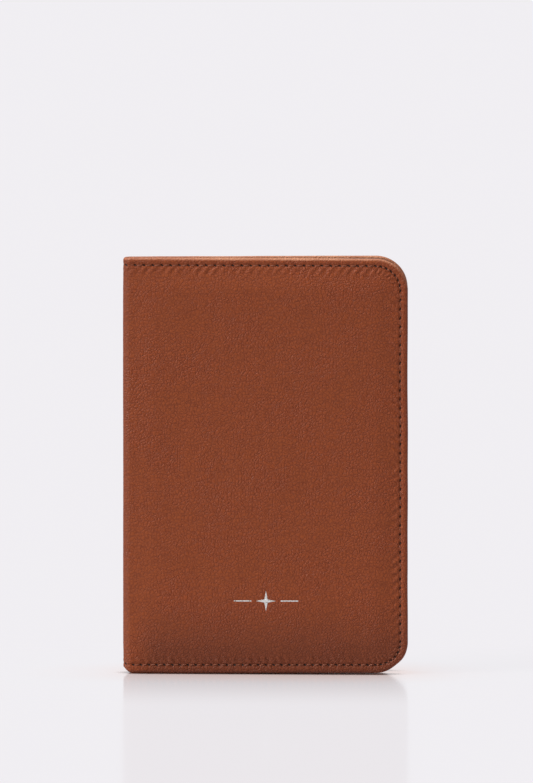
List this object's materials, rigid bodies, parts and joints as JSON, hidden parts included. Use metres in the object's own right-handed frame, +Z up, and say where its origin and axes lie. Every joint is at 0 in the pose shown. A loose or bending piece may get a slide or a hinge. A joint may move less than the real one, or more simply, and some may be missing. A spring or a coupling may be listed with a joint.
{
  "type": "passport holder",
  "caption": "Folding leather passport holder with turned, stitched edges, rounded outer corners, two passport sleeves and stepped card slots inside.",
  "frame": {"origin": "centre of the bounding box at rest, on the plane that the lower edges stand on", "axes": "+Z up along the spine; the front cover faces -Y and the back cover +Y; the spine is at -X and the free edges at +X"},
  "size_m": [0.097, 0.0184, 0.142],
  "materials": {
    "outer_leather": "fine pebble-grain cowhide, semi-matt, tan brown",
    "inner_leather": "smooth skived leather, semi-matt, tan brown",
    "lining_twill": "dark brown woven twill",
    "stiffener_board": "bonded-leather board, matt",
    "thread": "waxed polyester thread, tan brown",
    "silver_foil": "hot-stamped silver foil"
  },
  "bodies": {
    "back_cover": {"back_leather": "outer_leather", "back_stiffener": "stiffener_board", "back_lining": "lining_twill", "back_sleeve": "inner_leather", "back_stitching": "thread"},
    "spine": {"spine_leather": "outer_leather", "spine_lining": "lining_twill", "spine_stitching": "thread"},
    "front_cover": {"front_leather": "outer_leather", "front_stiffener": "stiffener_board", "front_lining": "lining_twill", "front_sleeve": "inner_leather", "card_panel_upper": "inner_leather", "card_panel_middle": "inner_leather", "card_panel_lower": "inner_leather", "card_bag_upper": "lining_twill", "card_bag_middle": "lining_twill", "card_stitching": "thread", "front_stitching": "thread", "foil_stamp": "silver_foil"}
  },
  "joints": [
    {"name": "back_crease", "type": "hinge", "parent": "back_cover", "child": "spine", "pos_m": [-0.04796, 0.0033, 0], "axis": [0, 0, -1], "range_deg": [-3.2, 86.8]},
    {"name": "front_crease", "type": "hinge", "parent": "spine", "child": "front_cover", "pos_m": [-0.04796, -0.0033, 0], "axis": [0, 0, -1], "range_deg": [-3.2, 86.8]}
  ]
}
